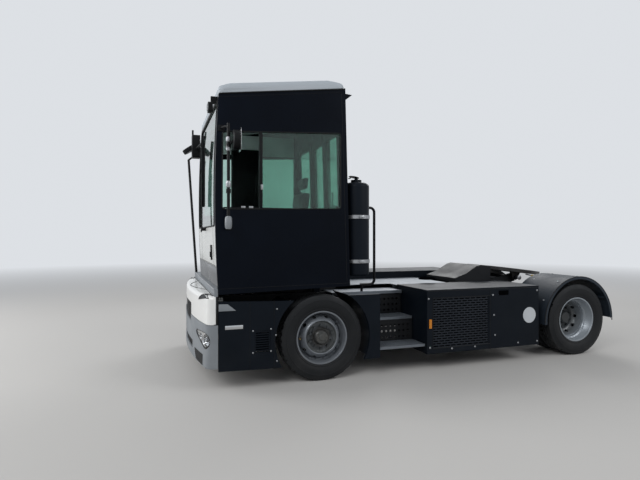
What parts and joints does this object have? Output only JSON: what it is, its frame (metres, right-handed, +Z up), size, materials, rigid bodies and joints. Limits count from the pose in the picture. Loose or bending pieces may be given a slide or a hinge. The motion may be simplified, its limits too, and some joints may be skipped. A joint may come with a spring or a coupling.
{
  "type": "terminal tractor",
  "caption": "Yard tractor with a narrow offset cab, lifting fifth wheel boom, side boxes and twin rear wheels.",
  "frame": {"origin": "on the ground below the middle of the tractor's box", "axes": "+X forward, +Y to the tractor's left, +Z up"},
  "size_m": [5.585, 3.03, 3.3345],
  "materials": {
    "cab_paint": "satin near-black",
    "white_paint": "gloss white",
    "grey_plastic": "mid grey",
    "black_plastic": "matt black",
    "frame_paint": "dark grey",
    "galvanised": "galvanised",
    "wheel_silver": "silver",
    "tyre": "road rubber",
    "cast": "greasy",
    "glass": "green tinted",
    "lamp": "clear lens",
    "red_lamp": "red lens",
    "amber": "amber lens",
    "chrome": "polished",
    "upholstery": "black cloth"
  },
  "bodies": {
    "frame": {"chassis_frame": "frame_paint", "front_axle_beam": "frame_paint", "leaf_springs": "frame_paint", "rear_axle_housing": "frame_paint", "engine_block": "frame_paint", "driveshaft": "frame_paint", "front_bumper": "grey_plastic", "hood_panel": "white_paint", "front_grilles": "black_plastic", "headlamps": "lamp", "front_shelf": "frame_paint", "side_panels": "frame_paint", "arch_panels": "frame_paint", "step_frame": "frame_paint", "step_treads": "galvanised", "deck_plates": "galvanised", "grab_rail": "black_plastic", "side_box_left": "frame_paint", "box_grille_left": "frame_paint", "box_cover_left": "frame_paint", "side_box_right": "frame_paint", "canister": "black_plastic", "rear_fenders": "frame_paint", "tail_lamps": "red_lamp", "side_marker": "amber", "cab_floor": "cab_paint", "cab_wall_left": "cab_paint", "cab_wall_right": "cab_paint", "cab_front": "white_paint", "cab_rear_wall": "cab_paint", "cab_roof": "cab_paint", "roof_cap": "white_paint", "windshield": "glass", "side_glass": "glass", "rear_glass": "glass", "dashboard": "grey_plastic", "steering_wheel": "black_plastic", "seat_base": "black_plastic", "seat_cushions": "upholstery", "mirror_left": "black_plastic", "mirror_right": "black_plastic", "work_lamp": "black_plastic", "wiper": "black_plastic"},
    "entry_door": {"cab_door": "cab_paint", "door_glass": "glass"},
    "knuckle_left": {"knuckle_left": "frame_paint"},
    "knuckle_right": {"knuckle_right": "frame_paint"},
    "front_wheel_left": {"tyre_front_left": "tyre", "wheel_front_left": "wheel_silver"},
    "front_wheel_right": {"tyre_front_right": "tyre", "wheel_front_right": "wheel_silver"},
    "rear_wheels_left": {"tyres_rear_left": "tyre", "wheels_rear_left": "wheel_silver"},
    "rear_wheels_right": {"tyres_rear_right": "tyre", "wheels_rear_right": "wheel_silver"},
    "boom": {"lift_boom": "frame_paint"},
    "cylinder_barrels": {"lift_barrels": "cast"},
    "cylinder_rods": {"lift_rods": "chrome"},
    "coupling_plate": {"fifth_wheel_plate": "cast"}
  },
  "joints": [
    {"name": "door_slide", "type": "slide", "parent": "frame", "child": "entry_door", "axis": [0, -1, 0], "range_m": [0, 0.56]},
    {"name": "steer_left", "type": "hinge", "parent": "frame", "child": "knuckle_left", "pos_m": [1.4225, 0.93, 0.475], "axis": [0, 0, 1], "range_deg": [-38, 38]},
    {"name": "steer_right", "type": "hinge", "parent": "frame", "child": "knuckle_right", "pos_m": [1.4225, -0.93, 0.475], "axis": [0, 0, 1], "range_deg": [-38, 38]},
    {"name": "roll_front_left", "type": "hinge", "parent": "knuckle_left", "child": "front_wheel_left", "pos_m": [1.4225, 1.07, 0.475], "axis": [0, 1, 0], "continuous": true},
    {"name": "roll_front_right", "type": "hinge", "parent": "knuckle_right", "child": "front_wheel_right", "pos_m": [1.4225, -1.07, 0.475], "axis": [0, 1, 0], "continuous": true},
    {"name": "roll_rear_left", "type": "hinge", "parent": "frame", "child": "rear_wheels_left", "pos_m": [-2.2105, 0.9275, 0.475], "axis": [0, 1, 0], "continuous": true},
    {"name": "roll_rear_right", "type": "hinge", "parent": "frame", "child": "rear_wheels_right", "pos_m": [-2.2105, -0.9275, 0.475], "axis": [0, 1, 0], "continuous": true},
    {"name": "boom_lift", "type": "hinge", "parent": "frame", "child": "boom", "pos_m": [-0.628, 0, 0.79], "axis": [0, 1, 0], "range_deg": [0, 22]},
    {"name": "cylinder_swing", "type": "hinge", "parent": "frame", "child": "cylinder_barrels", "pos_m": [-0.875, 0, 0.54], "axis": [0, 1, 0], "range_deg": [0, 20.6]},
    {"name": "cylinder_stroke", "type": "slide", "parent": "cylinder_barrels", "child": "cylinder_rods", "axis": [-0.7433, 0, 0.669], "range_m": [0, 0.1345]},
    {"name": "coupling_pitch", "type": "hinge", "parent": "boom", "child": "coupling_plate", "pos_m": [-1.927, 0, 0.985], "axis": [0, 1, 0], "range_deg": [-8, 15]}
  ],
  "couplings": [
    {"joint": "steer_right", "follows": "steer_left", "ratio": 1},
    {"joint": "cylinder_swing", "follows": "boom_lift", "ratio": 0.9338},
    {"joint": "cylinder_stroke", "follows": "boom_lift", "m_per_rad": 0.34979}
  ]
}
